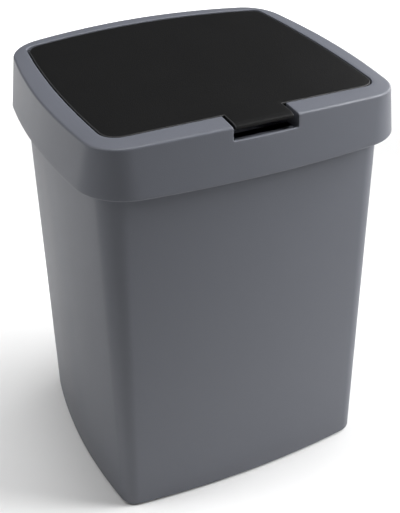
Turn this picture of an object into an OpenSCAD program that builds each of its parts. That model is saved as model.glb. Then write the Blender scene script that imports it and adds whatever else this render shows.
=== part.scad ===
// Push top countertop bin: a bowed, tapered tub, a lift-off lid frame and a hinged flap
// with a press tab. The origin is the centre of the footprint on the worktop, +Z is up,
// -Y is the front, where the tab is, and all sizes are in millimetres.

/* [Lid] */
// Height of the lid's crown above the worktop, at the middle of the lid
bin_h = 320; // [280:1:360]
// Width of the lid across its upper edge
lid_w = 235.6; // [228:0.2:246]
// Depth of the lid across its upper edge
lid_d = 214.8; // [208:0.2:224]
// Radius of the lid's corners at the upper edge, seen from above
lid_corner_r = 28.6; // [22:0.2:34]
// How far the front and the back of the lid bow outwards
lid_bow_y = 11; // [6:0.2:14]
// How far the sides of the lid bow outwards
lid_bow_x = 11; // [6:0.2:14]
// How much lower the lid's side edges are than its middle
lid_crown = 4.6; // [3:0.1:6]
// How much higher the lid is at the back than at the front
lid_rise = 4.3; // [2:0.1:6]
// How much lower the lid's outer edge is than the edge of the opening
border_drop = 0.9; // [0.5:0.1:2]
// Height of the skirt that hangs over the tub
skirt_h = 39.6; // [34:0.2:44]
// How far the lower edge of the skirt stands out at the sides
skirt_flare_x = 4.9; // [3:0.1:7]
// How far the lower edge of the skirt stands out at the front and the back
skirt_flare_y = 2.6; // [1:0.1:5]
// Radius of the lid's corners at the lower edge of the skirt
skirt_corner_r = 38; // [34:0.5:42]
// Wall of the lid frame
lid_wall = 2.2; // [1.8:0.1:2.8]

/* [Opening and flap] */
// Width of the lid's border at the sides
border_side = 13.7; // [12:0.1:16]
// Width of the lid's border at the front
border_front = 17; // [15.5:0.1:19]
// Width of the lid's border at the back
border_rear = 12.5; // [11.5:0.1:15]
// Radius of the opening's front corners
opening_corner_r = 15.2; // [13:0.2:17]
// Radius of the opening's rear corners
opening_rear_corner_r = 8; // [7:0.5:11]
// How far the front and the back of the opening bow outwards
opening_bow_y = 6.5; // [5:0.1:7.5]
// How far the sides of the opening bow outwards
opening_bow_x = 5.2; // [4:0.1:6.5]
// Gap between the flap and the opening at the front and the sides
flap_gap = 1.1; // [0.8:0.1:1.5]
// Gap between the flap and the opening at the back, where the flap turns
flap_rear_gap = 2; // [1.8:0.1:2.4]
// Radius of the flap's rear corners, wider than the opening's so that they turn freely
flap_rear_corner_r = 12; // [12:0.5:15]
// Thickness of the flap
flap_t = 2.2; // [1.8:0.1:2.4]
// How far the flap's face lies below the border
flap_recess = 0.3; // [0.1:0.1:0.5]
// Width of the press tab
tab_w = 42; // [36:0.5:44]
// Gap between the press tab and each side of its notch
tab_side_gap = 2.5; // [1.5:0.1:3.5]
// How far the tab's edge stays behind the lid's front edge
tab_setback = 2.2; // [1:0.1:4]
// Height of the notch in the front wall below the lid's front edge
notch_h = 9.6; // [8.5:0.1:11]

/* [Hinge] */
// Diameter of the hinge rod
rod_d = 3; // [2.6:0.1:3.2]
// Radial clearance of the hinge rod in its ears and knuckles
rod_clearance = 0.05; // [0.02:0.01:0.08]
// Distance of the hinge axis in front of the opening's rear edge
hinge_setback = 7.9; // [7.6:0.1:8.3]
// Depth of the hinge axis below the lid's surface
hinge_depth = 5.6; // [5.4:0.1:5.8]
// Wire of the two flap springs
flap_spring_wire = 0.9; // [0.7:0.1:1]
// Turns of each flap spring
flap_spring_turns = 5; // [3:1:6]

/* [Latch] */
// Wire of the latch spring
latch_spring_wire = 0.7; // [0.5:0.1:0.8]
// Turns of the latch spring
latch_spring_turns = 6; // [5:1:7]
// How far the tab end of the flap travels when it is pressed, at the latch
press_travel = 2.4; // [1.8:0.1:2.6]

/* [Tub] */
// How far each side of the tub's mouth stands inside the lid's upper edge
mouth_inset_x = 4.3; // [3.3:0.1:7.3]
// How far the front and the back of the tub's mouth stand inside the lid's upper edge
mouth_inset_y = 10.2; // [8.9:0.1:10.9]
// How far each side of the base stands inside the mouth
taper_x = 3; // [0:0.1:18]
// How far the front and the back of the base stand inside the mouth
taper_y = 3.5; // [0:0.1:17]
// How far the base lies behind the middle of the mouth
base_shift = 1.6; // [0:0.1:3]
// Radius of the tub's corners at the mouth
mouth_corner_r = 21.5; // [16:0.5:26]
// Radius of the tub's corners at the base
base_corner_r = 13; // [8:0.5:20]
// How far the front and the back of the base bow outwards
base_bow_y = 8.5; // [5:0.1:11]
// How far the sides of the base bow outwards
base_bow_x = 10.4; // [6:0.1:13]
// Wall of the tub
tub_wall = 2; // [1.6:0.1:2.6]
// Floor of the tub
floor_t = 2.6; // [2.2:0.1:3.4]
// Diameter of the non-slip pads under the tub
pad_d = 16; // [12:0.5:20]
// How far the pads stand out under the tub
pad_proud = 0.8; // [0.5:0.1:1.2]

/* [Hidden] */
grey = [0.40, 0.42, 0.45];
black = [0.12, 0.12, 0.13];
latch_black = [0.2, 0.2, 0.21];
steel = [0.72, 0.73, 0.75];
pad_grey = [0.25, 0.25, 0.26];
eps = 0.01;
side_steps = 4;
corner_steps = 8;

// The lid's surface: level across the middle, falling to the sides and to the front
slope = lid_rise / lid_d;
function lid_top(p) = bin_h + slope * p.y - lid_crown * pow(p.x / (lid_w / 2), 2);

// Lid levels
skirt_z = bin_h - border_drop - skirt_h;
seat_gap = 0.2;
web_t = 2;
rim_drop = 17;
rim_z = bin_h - rim_drop;
mouth_w = lid_w - 2 * mouth_inset_x;
mouth_d = lid_d - 2 * mouth_inset_y;
base_w = mouth_w - 2 * taper_x;
base_d = mouth_d - 2 * taper_y;
web_z = rim_z + seat_gap;
edge_round = 1.5;
lip_round = 0.8;

// Opening in the lid
open_a = lid_w / 2 - border_side;
open_front = border_front - lid_d / 2;
open_rear = lid_d / 2 - border_rear;
open_b = (open_rear - open_front) / 2;
open_y = (open_rear + open_front) / 2;
ledge_w = 5;

// Flap
flap_a = open_a - flap_gap;
flap_front = open_front + flap_gap;
flap_rear = open_rear - flap_rear_gap;
flap_b = (flap_rear - flap_front) / 2;
flap_y = (flap_rear + flap_front) / 2;
flap_corner_r = opening_corner_r - flap_gap;
flap_under = flap_recess + flap_t;
flap_rim_inset = 1.5;
flap_rim_t = 1.6;
flap_rim_h = 5;
rib_h = 3.5;
rib_t = 1.6;
rib_x = 40;
rib_step = flap_b / 2;
rib_setback = 9;
tab_tip_t = 3.2;
tab_fall = 1;
notch_w = tab_w + 2 * tab_side_gap;
notch_z = bin_h - border_drop - slope * lid_d / 2 - notch_h;
pocket_wall = 2;

// Hinge
axis_y = open_rear - hinge_setback;
axis_z = lid_top([0, axis_y]) - hinge_depth;
ear_r = rod_d / 2 + 0.7;
knuckle_r = rod_d / 2 + 1.5;
hinge_bore_r = rod_d / 2 + rod_clearance;
ear_t = 3;
ear_inner_x = 24;
ear_outer_x = 38;
knuckle_gap = 0.4;
clip_gap = 0.3;
clip_t = 0.9;
clip_r = rod_d / 2 + 0.7;
rod_half = ear_outer_x + ear_t + clip_gap + clip_t + 0.8;
shelf_front = 7.5;
shelf_side = 3;

// Latch
tongue_t = 3;
tongue_w = 44;
tongue_drop = 21;
housing_h = 20;
housing_w = 26;
housing_d = 16;
latch_y = open_front + housing_d / 2;
housing_wall = 3;
housing_floor = 2;
housing_top = rim_z - 1;
housing_z = housing_top - housing_h;
housing_ear_w = 8;
housing_ear_t = 3;
housing_ear_h = 10;
slide_gap = 0.3;
screw_x = housing_w / 2 + housing_ear_w / 2;
screw_z = housing_z + housing_h / 2;
screw_r = 1.4;
screw_head_r = 2.8;
screw_head_t = 1.8;
screw_clearance = 0.05;
cover_t = 1.5;
plunger_top = housing_top - 2;
plunger_h = plunger_top - housing_z - housing_floor - press_travel - 2.6;
spring_pocket_h = plunger_h - 4;
spring_r = 2.3;
spring_seat = 0.25;
head_r = 3.2;
neck_r = 1.6;
head_gap = 0.3;
head_z = plunger_top + 1.2;
head_h = 4.5;
jaw_t = 2;
jaw_h = head_z + head_h + 2.6 - plunger_top;
hook_h = 2;
follower_d = 1;
follower_slot = 8;
groove_depth = 1;
groove_r = 2.3;
island_r = 1;
groove_low = plunger_top - plunger_h + 3.6;
groove_high = groove_low + 3;

// Points of one quarter of a bowed rectangle, from the middle of the right side to the
// middle of the back: a side arc, a corner arc that meets both arcs smoothly, a back arc
function quarter(a, b, bow_y, bow_x, r) =
    let (
        ry = (a * a + bow_y * bow_y) / (2 * bow_y),
        rx = (b * b + bow_x * bow_x) / (2 * bow_x),
        cy = [0, b - ry],
        cx = [a - rx, 0],
        gap = cx - cy,
        d = norm(gap),
        along = (pow(ry - r, 2) - pow(rx - r, 2) + d * d) / (2 * d),
        off = sqrt(pow(ry - r, 2) - along * along),
        u = gap / d,
        f = cy + along * u + off * [u.y, -u.x],
        t0 = atan2(f.y - cx.y, f.x - cx.x),
        t1 = atan2(f.y - cy.y, f.x - cy.x)
    )
    concat(
        [for (i = [0 : side_steps - 1]) cx + rx * polar(t0 * i / side_steps)],
        [for (i = [0 : corner_steps - 1]) f + r * polar(t0 + (t1 - t0) * i / corner_steps)],
        [for (i = [0 : side_steps]) cy + ry * polar(t1 + (90 - t1) * i / side_steps)]
    );
function polar(t) = [cos(t), sin(t)];
function reversed(list) = [for (i = [len(list) - 1 : -1 : 0]) list[i]];
function without_last(list) = [for (i = [0 : len(list) - 2]) list[i]];
function mirrored(list, sx, sy) = [for (p = list) [sx * p.x, sy * p.y]];

// A whole bowed rectangle, anticlockwise, centred at [0, y0]; the rear corners may differ
function bowed(a, b, bow_y, bow_x, r, y0 = 0, rear_r = undef) =
    let (
        rear = quarter(a, b, bow_y, bow_x, is_undef(rear_r) ? r : rear_r),
        front = quarter(a, b, bow_y, bow_x, r)
    )
    [for (p = concat(
        without_last(rear),
        without_last(reversed(mirrored(rear, -1, 1))),
        without_last(mirrored(front, -1, -1)),
        without_last(reversed(mirrored(front, 1, -1)))
    )) p + [0, y0]];

// The outlines that the pieces share, each grown outwards by d
function lid_edge(d = 0) = bowed(lid_w / 2 + d, lid_d / 2 + d, lid_bow_y, lid_bow_x,
    lid_corner_r + d);
function skirt_edge(d = 0) = bowed(lid_w / 2 + skirt_flare_x + d, lid_d / 2 + skirt_flare_y + d,
    lid_bow_y, lid_bow_x, skirt_corner_r + d);
function opening_edge(d = 0) = bowed(open_a + d, open_b + d, opening_bow_y, opening_bow_x,
    opening_corner_r + d, open_y, opening_rear_corner_r + d);
function flap_edge(d = 0) = bowed(flap_a + d, flap_b + d, opening_bow_y, opening_bow_x,
    flap_corner_r + d, flap_y, flap_rear_corner_r + d);
function mouth_edge(d = 0) = bowed(mouth_w / 2 + d, mouth_d / 2 + d, lid_bow_y, lid_bow_x,
    mouth_corner_r + d);
function base_edge(d = 0) = bowed(base_w / 2 + d, base_d / 2 + d, base_bow_y, base_bow_x,
    base_corner_r + d, base_shift);

// An outline at a level, under the lid's surface, or part of the way between two rings
function at_level(outline, z) = [for (p = outline) [p.x, p.y, z]];
function below_top(outline, drop) = [for (p = outline) [p.x, p.y, lid_top(p) - drop]];
function between(low, high, k) = [for (i = [0 : len(low) - 1]) low[i] + (high[i] - low[i]) * k];
function shrunk(outline, k, y0) = [for (p = outline) [p.x * k, y0 + (p.y - y0) * k]];

// The wall between the tub's base and its mouth, a distance d outside the outer face
tub_base_z = pad_proud;
function tub_ring(z, d = 0) =
    between(at_level(base_edge(d), z), at_level(mouth_edge(d), z), (z - tub_base_z) / (rim_z - tub_base_z));

// Walls through rings that all have the same number of points
function wall_faces(rings, count, closed) =
    [for (i = [0 : rings - (closed ? 1 : 2)], j = [0 : count - 1], half = [0, 1])
        let (k = (j + 1) % count, lo = i * count, hi = ((i + 1) % rings) * count)
        half == 0 ? [lo + j, hi + j, hi + k] : [lo + j, hi + k, lo + k]];

// A ring-shaped shell whose section runs up the outside, inwards and down the inside
module loop_shell(rings) {
    polyhedron([for (ring = rings, p = ring) p], wall_faces(len(rings), len(rings[0]), true));
}

// A closed shell from a low centre, out through the rings and in to a high centre
module capped_shell(rings, low, high) {
    n = len(rings[0]);
    total = len(rings) * n;
    low_fan = [for (j = [0 : n - 1]) [total, j, (j + 1) % n]];
    high_fan = [for (j = [0 : n - 1]) [total + 1, total - n + (j + 1) % n, total - n + j]];
    polyhedron(concat([for (ring = rings, p = ring) p], [low, high]),
        concat(wall_faces(len(rings), n, false), low_fan, high_fan));
}

// A wire along points, six-sided, for wire that never runs along the reference direction
wire_sides = 6;
function unit(v) = v / norm(v);
function wire_ring(points, i, r, ref) =
    let (
        last = len(points) - 1,
        t = unit(points[min(i + 1, last)] - points[max(i - 1, 0)]),
        n1 = unit(cross(ref, t)),
        n2 = cross(t, n1)
    )
    [for (s = [0 : wire_sides - 1])
        points[i] + r * (cos(60 * s) * n1 + sin(60 * s) * n2)];
module wire(points, d, ref) {
    rings = [for (i = [0 : len(points) - 1]) reversed(wire_ring(points, i, d / 2, ref))];
    capped_shell(rings, points[0], points[len(points) - 1]);
}

// Least gap between one turn of a wire and the next, from points with a set number a turn
turn_rings = 8;
function least_gap(points, d) =
    min([for (i = [0 : len(points) - 1], j = [i + turn_rings / 2 : 1 : len(points) - 1])
        norm(points[i] - points[j])]) - d;

// Places a child on the lid's sloping middle line: z = 0 is the surface at x = 0
module on_slope() {
    translate([0, 0, bin_h]) rotate([atan(slope), 0, 0]) children();
}

module x_cylinder(x0, x1, r, sides = 48) {
    translate([x0, 0, 0]) rotate([0, 90, 0]) cylinder(h = x1 - x0, r = r, $fn = sides);
}

module both_sides() {
    children();
    mirror([1, 0, 0]) children();
}

// A bar from one corner to the opposite corner
module bar(low, high) {
    translate(low) cube(high - low);
}

// Tub

rim_w = 3;
rim_lip_h = 10;
base_round = 2.4;

module tub() {
    color(grey)
    difference() {
        capped_shell([
            tub_ring(tub_base_z, -base_round),
            tub_ring(tub_base_z + base_round * 0.3, -base_round * 0.3),
            tub_ring(tub_base_z + base_round, 0),
            tub_ring(rim_z - tub_wall, 0),
            tub_ring(rim_z - tub_wall, rim_w - tub_wall),
            tub_ring(rim_z - rim_lip_h, rim_w - tub_wall),
            tub_ring(rim_z - rim_lip_h, rim_w),
            tub_ring(rim_z - 0.8, rim_w),
            tub_ring(rim_z, rim_w - 0.8),
            tub_ring(rim_z, -tub_wall),
            tub_ring(tub_base_z + floor_t + base_round, -tub_wall),
            tub_ring(tub_base_z + floor_t, -tub_wall - base_round),
        ], [0, base_shift, tub_base_z], [0, base_shift, tub_base_z + floor_t]);
        for (sx = [-1, 1], sy = [-1, 1]) at_pad(sx, sy)
            cylinder(h = pad_socket_z + eps, r = pad_d / 2 + 0.1, $fn = 48);
    }
}

pad_inset = 12;
pad_socket_z = pad_proud + 1;
pad_x = base_w / 2 - base_bow_x - pad_inset;
pad_y = base_d / 2 - base_bow_y - pad_inset;
module at_pad(sx, sy) {
    translate([sx * pad_x, base_shift + sy * pad_y, 0]) children();
}

module pad(sx, sy) {
    r = pad_d / 2;
    color(pad_grey) at_pad(sx, sy)
        rotate_extrude($fn = 48)
            polygon([[0, 0], [r - 0.5, 0], [r, 0.5], [r, pad_socket_z], [0, pad_socket_z]]);
}

// Lid frame

frame_rings = [
    at_level(skirt_edge(-0.4), skirt_z),
    at_level(skirt_edge(), skirt_z + 0.4),
    between(below_top(lid_edge(), border_drop), at_level(skirt_edge(), skirt_z), edge_round / skirt_h),
    below_top(lid_edge(-0.3 * edge_round), border_drop + 0.15 * edge_round),
    below_top(lid_edge(-edge_round), border_drop * 0.85),
    below_top(opening_edge(lip_round), 0.1),
    below_top(opening_edge(0.3 * lip_round), 0.25 + 0.1 * lip_round),
    below_top(opening_edge(), lip_round + 0.2),
    at_level(opening_edge(), web_z),
    at_level(opening_edge(lid_wall), web_z),
    below_top(opening_edge(lid_wall), lid_wall + 0.2),
    below_top(lid_edge(-lid_wall - 1), border_drop + lid_wall),
    below_top(lid_edge(-lid_wall), border_drop + lid_wall + 1),
    at_level(skirt_edge(-lid_wall), skirt_z),
];

module level_ring(outer, inner, z0, z1) {
    translate([0, 0, z0]) linear_extrude(z1 - z0) difference() {
        polygon(outer);
        polygon(inner);
    }
}

plug_gap = 0.6;
plug_t = 2;
plug_h = 6;
pocket_back = open_front - lid_wall;

module lid_frame() {
    color(grey)
    difference() {
        union() {
            loop_shell(frame_rings);
            level_ring(mouth_edge(rim_w - 0.8), opening_edge(-ledge_w), web_z, web_z + web_t);
            level_ring(mouth_edge(-tub_wall - plug_gap), mouth_edge(-tub_wall - plug_gap - plug_t),
                rim_z - plug_h, web_z + eps);
            pocket();
            bar([-tongue_w / 2, open_front - tongue_t, web_z - tongue_drop],
                [tongue_w / 2, open_front, web_z + web_t]);
            bar([-ear_outer_x - ear_t - shelf_side, axis_y - shelf_front, web_z],
                [ear_outer_x + ear_t + shelf_side, open_rear, web_z + web_t]);
            both_sides() {
                hinge_ear(ear_inner_x);
                hinge_ear(ear_outer_x);
            }
        }
        bar([-notch_w / 2, -lid_d, notch_z], [notch_w / 2, open_front + flap_gap, bin_h]);
        bar([-tongue_w / 2, open_front, web_z - eps], [tongue_w / 2, open_front + ledge_w + 1, notch_z]);
        translate([0, axis_y, axis_z]) x_cylinder(-rod_half, rod_half, hinge_bore_r);
        for (sx = [-1, 1]) translate([sx * screw_x, open_front, screw_z])
            rotate([90, 0, 0]) cylinder(h = tongue_t + 1, r = screw_r + screw_clearance, $fn = 32);
    }
}

// The pocket behind the notch: its floor and its two side walls
module pocket() {
    outer_x = notch_w / 2 + pocket_wall;
    front = 0.25 * lid_wall - lid_d / 2;
    bar([-outer_x, front, web_z], [outer_x, pocket_back, web_z + web_t]);
    both_sides() intersection() {
        bar([notch_w / 2, front, web_z], [outer_x, pocket_back + eps, bin_h]);
        capped_shell([
            at_level(lid_edge(-lid_wall / 2), web_z),
            below_top(lid_edge(-lid_wall / 2), border_drop + lid_wall * 0.5),
        ], [0, 0, web_z], [0, 0, bin_h - border_drop - lid_wall * 0.5]);
    }
}

// One of the ears that carry the hinge rod, standing on the rear shelf
module hinge_ear(x) {
    translate([x, axis_y, axis_z]) x_cylinder(0, ear_t, ear_r);
    bar([x, axis_y - ear_r, web_z + web_t - eps], [x + ear_t, axis_y + ear_r, axis_z]);
}

bumper_x = 60;
bumper_r = 1.6;
bumper_y = flap_front + flap_rim_inset + flap_rim_t / 2 + opening_bow_y * pow(bumper_x / flap_a, 2);
bumper_top = lid_top([bumper_x, bumper_y]) - flap_under - flap_rim_h - press_travel - 0.3;
module bumper(side) {
    color(pad_grey) translate([side * bumper_x, bumper_y, web_z + web_t])
        cylinder(h = bumper_top - web_z - web_t, r = bumper_r, $fn = 32);
}

// Latch: a housing on the frame's tongue, a plunger with two jaws, a spring under it and
// a wire follower that runs in the plunger's heart-shaped groove

cavity_half_x = housing_w / 2 - housing_wall;
cavity_half_y = housing_d / 2 - housing_wall;

module latch_housing() {
    color(latch_black) difference() {
        union() {
            bar([-housing_w / 2, latch_y - housing_d / 2, housing_z],
                [housing_w / 2, latch_y + housing_d / 2, housing_top]);
            both_sides() bar([housing_w / 2 - eps, open_front, screw_z - housing_ear_h / 2],
                [housing_w / 2 + housing_ear_w, open_front + housing_ear_t,
                    screw_z + housing_ear_h / 2]);
        }
        bar([-cavity_half_x, latch_y - cavity_half_y, housing_z + housing_floor],
            [cavity_half_x, latch_y + cavity_half_y, housing_top + 1]);
        bar([-follower_slot / 2, latch_y, housing_z + housing_floor],
            [follower_slot / 2, latch_y + housing_d, housing_top - 2]);
        for (sx = [-1, 1]) translate([sx * screw_x, open_front + housing_ear_t + 1, screw_z])
            rotate([90, 0, 0]) cylinder(h = housing_ear_t + 2, r = screw_r + 0.2, $fn = 32);
    }
}

module latch_cover() {
    color(latch_black) {
        bar([-housing_w / 2 + 1, latch_y + housing_d / 2, housing_z + 1],
            [housing_w / 2 - 1, latch_y + housing_d / 2 + cover_t, housing_top - 1]);
    }
}

module latch_screw(side) {
    color(steel) translate([side * screw_x, open_front + housing_ear_t, screw_z]) rotate([90, 0, 0]) {
        cylinder(h = housing_ear_t + tongue_t - 0.3, r = screw_r, $fn = 32);
        difference() {
            translate([0, 0, -screw_head_t])
                cylinder(h = screw_head_t, r1 = screw_head_r * 0.8, r2 = screw_head_r, $fn = 32);
            for (turn = [0, 90]) rotate([0, 0, turn])
                bar([-1.6, -0.35, -screw_head_t - eps], [1.6, 0.35, -screw_head_t + 1]);
        }
    }
}

plunger_half_x = cavity_half_x - slide_gap;
plunger_half_y = cavity_half_y - slide_gap;
plunger_z = plunger_top - plunger_h;

module latch_plunger() {
    color(latch_black) difference() {
        union() {
            bar([-plunger_half_x, latch_y - plunger_half_y, plunger_z],
                [plunger_half_x, latch_y + plunger_half_y, plunger_top]);
            both_sides() jaw();
        }
        translate([0, latch_y, plunger_z - eps])
            cylinder(h = spring_pocket_h + eps, r = spring_r + latch_spring_wire, $fn = 48);
        translate([0, latch_y + plunger_half_y + eps, 0]) heart_groove();
    }
}

module jaw() {
    jaw_x = head_r + head_gap;
    bar([jaw_x, latch_y - plunger_half_y, plunger_top - eps],
        [jaw_x + jaw_t, latch_y + plunger_half_y, plunger_top + jaw_h]);
    bar([neck_r + head_gap, latch_y - plunger_half_y, plunger_top + jaw_h - hook_h],
        [jaw_x + eps, latch_y + plunger_half_y, plunger_top + jaw_h]);
}

// An upright loop round an island, cut into the rear face of the plunger, open downwards
module heart_groove() {
    difference() {
        upright(groove_r, groove_depth);
        upright(island_r, groove_depth + 1);
    }
    bar([-0.7, -groove_depth, plunger_z - 1], [0.7, 0, groove_low - groove_r + 0.5]);
}

module upright(r, depth) {
    bar([-r, -depth, groove_low], [r, 0, groove_high]);
    for (z = [groove_low, groove_high]) translate([0, 0, z]) rotate([90, 0, 0])
        cylinder(h = depth, r = r, $fn = 32);
}

// A straight wire in the housing's slot, with its two ends bent at right angles: the lower
// end backs onto the cover, the upper end runs in the side channel of the plunger's groove
follower_x = -(groove_r + island_r) / 2;
follower_y = latch_y + cavity_half_y + follower_d / 2 + 0.3;
follower_low = housing_z + housing_floor + 1.2;
follower_high = groove_low + 0.2;
module latch_follower() {
    r = follower_d / 2;
    back = housing_d / 2 - 0.1;
    tip = plunger_half_y - groove_depth * 0.7;
    color(steel) translate([follower_x, latch_y, 0]) {
        translate([0, follower_y - latch_y, follower_low]) {
            cylinder(h = follower_high - follower_low, r = r, $fn = 24);
            sphere(r = r, $fn = 24);
        }
        translate([0, follower_y - latch_y, follower_high]) sphere(r = r, $fn = 24);
        translate([0, back, follower_low]) rotate([90, 0, 0])
            cylinder(h = back - follower_y + latch_y, r = r, $fn = 24);
        translate([0, follower_y - latch_y, follower_high]) rotate([90, 0, 0])
            cylinder(h = follower_y - latch_y - tip, r = r, $fn = 24);
    }
}

spring_low = housing_z + housing_floor + latch_spring_wire / 2 + spring_seat;
spring_high = plunger_z + spring_pocket_h - latch_spring_wire / 2 - spring_seat;
latch_spring_points = [for (i = [0 : latch_spring_turns * turn_rings])
    let (k = i / (latch_spring_turns * turn_rings), t = 360 * i / turn_rings)
    [spring_r * cos(t), latch_y + spring_r * sin(t), spring_low + (spring_high - spring_low) * k]];
echo("latch spring, least gap between turns", least_gap(latch_spring_points, latch_spring_wire));
module latch_spring() {
    color(steel) wire(latch_spring_points, latch_spring_wire, [0, 0, 1]);
}

// Hinge: a steel rod with a clip at each end, and two wire springs wound round it

module hinge_rod() {
    color(steel) translate([0, axis_y, axis_z]) x_cylinder(-rod_half, rod_half, rod_d / 2);
}

module rod_clip(side) {
    x0 = ear_outer_x + ear_t + clip_gap;
    color(steel) translate([0, axis_y, axis_z]) on_side(side) difference() {
        x_cylinder(x0, x0 + clip_t, clip_r);
        x_cylinder(x0 - 1, x0 + clip_t + 1, rod_d / 2 + 0.02);
    }
}

// The child itself on the right, its mirror image on the left
module on_side(side) {
    if (side < 0) mirror([1, 0, 0]) children();
    else children();
}

// The coil runs from the frame leg, which stands on the shelf with its foot against the
// rear wall of the opening, to the flap leg, which lies forwards under the flap
coil_r = rod_d / 2 + 0.3 + flap_spring_wire / 2;
coil_x0 = 9;
coil_x1 = 21;
coil_sweep = 360 * flap_spring_turns + 90;
coil_count = round(coil_sweep / 360 * turn_rings);
coil_points = [for (i = [0 : coil_count])
    let (k = i / coil_count)
    [coil_x0 + (coil_x1 - coil_x0) * k, coil_r * cos(coil_sweep * k), coil_r * sin(coil_sweep * k)]];
flap_leg = 22;
flap_leg_fall = 1;
foot_y = hinge_setback - 0.3;
foot_z = web_z + web_t + flap_spring_wire / 2 + 0.15 - axis_z;
flap_spring_points = concat(
    [[coil_x0, foot_y, foot_z], [coil_x0, coil_r + 1, foot_z], [coil_x0, coil_r, foot_z + 1]],
    coil_points,
    [[coil_x1, -flap_leg / 2, coil_r - flap_leg_fall / 2], [coil_x1, -flap_leg, coil_r - flap_leg_fall]]
);
echo("flap spring, least gap between turns", least_gap(coil_points, flap_spring_wire));
module flap_spring(side) {
    color(steel) translate([0, axis_y, axis_z]) on_side(side)
        wire(flap_spring_points, flap_spring_wire, [1, 0, 0]);
}

// Flap

function flap_ring(inset, drop) = below_top(flap_edge(-inset), drop);
function flap_inner_ring(k, drop) = below_top(shrunk(flap_edge(-1.4), k, flap_y), drop);

module flap_plate() {
    capped_shell([
        flap_inner_ring(0.35, flap_under),
        flap_inner_ring(0.7, flap_under),
        flap_ring(0.4, flap_under),
        flap_ring(0, flap_under - 0.4),
        flap_ring(0, flap_recess + 1.2),
        flap_ring(0.35, flap_recess + 0.35),
        flap_ring(1.2, flap_recess),
        flap_inner_ring(0.7, flap_recess),
        flap_inner_ring(0.35, flap_recess),
    ], [0, flap_y, lid_top([0, flap_y]) - flap_under], [0, flap_y, lid_top([0, flap_y]) - flap_recess]);
}

// The rim under the flap's edge, open at the back where the hinge is
module flap_rim() {
    low = flap_under + flap_rim_h;
    high = flap_under - 0.6;
    intersection() {
        loop_shell([
            flap_ring(flap_rim_inset, low),
            flap_ring(flap_rim_inset, high),
            flap_ring(flap_rim_inset + flap_rim_t, high),
            flap_ring(flap_rim_inset + flap_rim_t, low),
        ]);
        bar([-lid_w, -lid_d, 0], [lid_w, axis_y - 8, 2 * bin_h]);
    }
}

module press_tab() {
    tip_y = tab_setback - lid_d / 2;
    tip_r = tab_tip_t / 2;
    hull() {
        on_slope() translate([0, tip_y + tip_r, -flap_recess - tab_fall - tip_r])
            x_cylinder(-tab_w / 2, tab_w / 2, tip_r, 32);
        on_slope() bar([-tab_w / 2, flap_front + 1, -flap_under - 0.3],
            [tab_w / 2, flap_front + 3, -flap_recess - 0.15]);
    }
}

module flap_panel() {
    color(black) difference() {
        union() {
            flap_plate();
            flap_rim();
            press_tab();
            both_sides() {
                knuckle();
                on_slope() bar([rib_x - rib_t / 2, flap_front + 3, -flap_under - rib_h],
                    [rib_x + rib_t / 2, axis_y - rib_setback, -flap_under]);
            }
            for (y = [-rib_step, 0, rib_step]) on_slope()
                bar([-rib_x, y - rib_t / 2, -flap_under - rib_h], [rib_x, y + rib_t / 2, -flap_under + 1]);
        }
        translate([0, axis_y, axis_z]) x_cylinder(-rod_half, rod_half, hinge_bore_r);
    }
}

// The part of the flap's hinge that turns on the rod, with its web up to the plate
module knuckle() {
    x0 = ear_inner_x + ear_t + knuckle_gap;
    x1 = ear_outer_x - knuckle_gap;
    translate([0, axis_y, axis_z]) x_cylinder(x0, x1, knuckle_r);
    bar([x0, axis_y - knuckle_r, axis_z], [x1, axis_y + knuckle_r, lid_top([x1, axis_y]) - flap_under + 0.6]);
}

// The part under the flap that the jaws hold: a base, a neck and a head
striker_gap = 0.12;
striker_w = 18;
striker_t = 2;
neck_y = 3.5;
module striker() {
    front = flap_front + flap_rim_inset + flap_rim_t + 0.2;
    top = lid_top([0, front]) - flap_under - striker_gap;
    color(latch_black) {
        bar([-striker_w / 2, front, top - striker_t], [striker_w / 2, latch_y + 5, top]);
        bar([-neck_r, latch_y - neck_y, head_z + head_h - eps],
            [neck_r, latch_y + neck_y, top - striker_t / 2]);
        translate([0, latch_y + neck_y, head_z]) rotate([90, 0, 0]) linear_extrude(2 * neck_y)
            polygon([[-head_r * 0.5, 0], [head_r * 0.5, 0], [head_r, head_h * 0.6],
                [head_r, head_h], [-head_r, head_h], [-head_r, head_h * 0.6]]);
    }
}

tub();
pad(-1, -1);  // pad_front_left
pad(1, -1);  // pad_front_right
pad(-1, 1);  // pad_rear_left
pad(1, 1);  // pad_rear_right
lid_frame();
bumper(-1);  // bumper_left
bumper(1);  // bumper_right
latch_housing();
latch_cover();
latch_screw(-1);  // latch_screw_left
latch_screw(1);  // latch_screw_right
latch_follower();
flap_spring(-1);  // flap_spring_left
flap_spring(1);  // flap_spring_right
hinge_rod();
rod_clip(-1);  // rod_clip_left
rod_clip(1);  // rod_clip_right
latch_plunger();
latch_spring();
flap_panel();
striker();
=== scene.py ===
"""Push top countertop bin: finished pieces, moulded plastics and a plain studio over the frame."""

import math
from contextlib import contextmanager
from functools import cache

import bmesh
import bpy
from mathutils import Matrix, Vector


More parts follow.
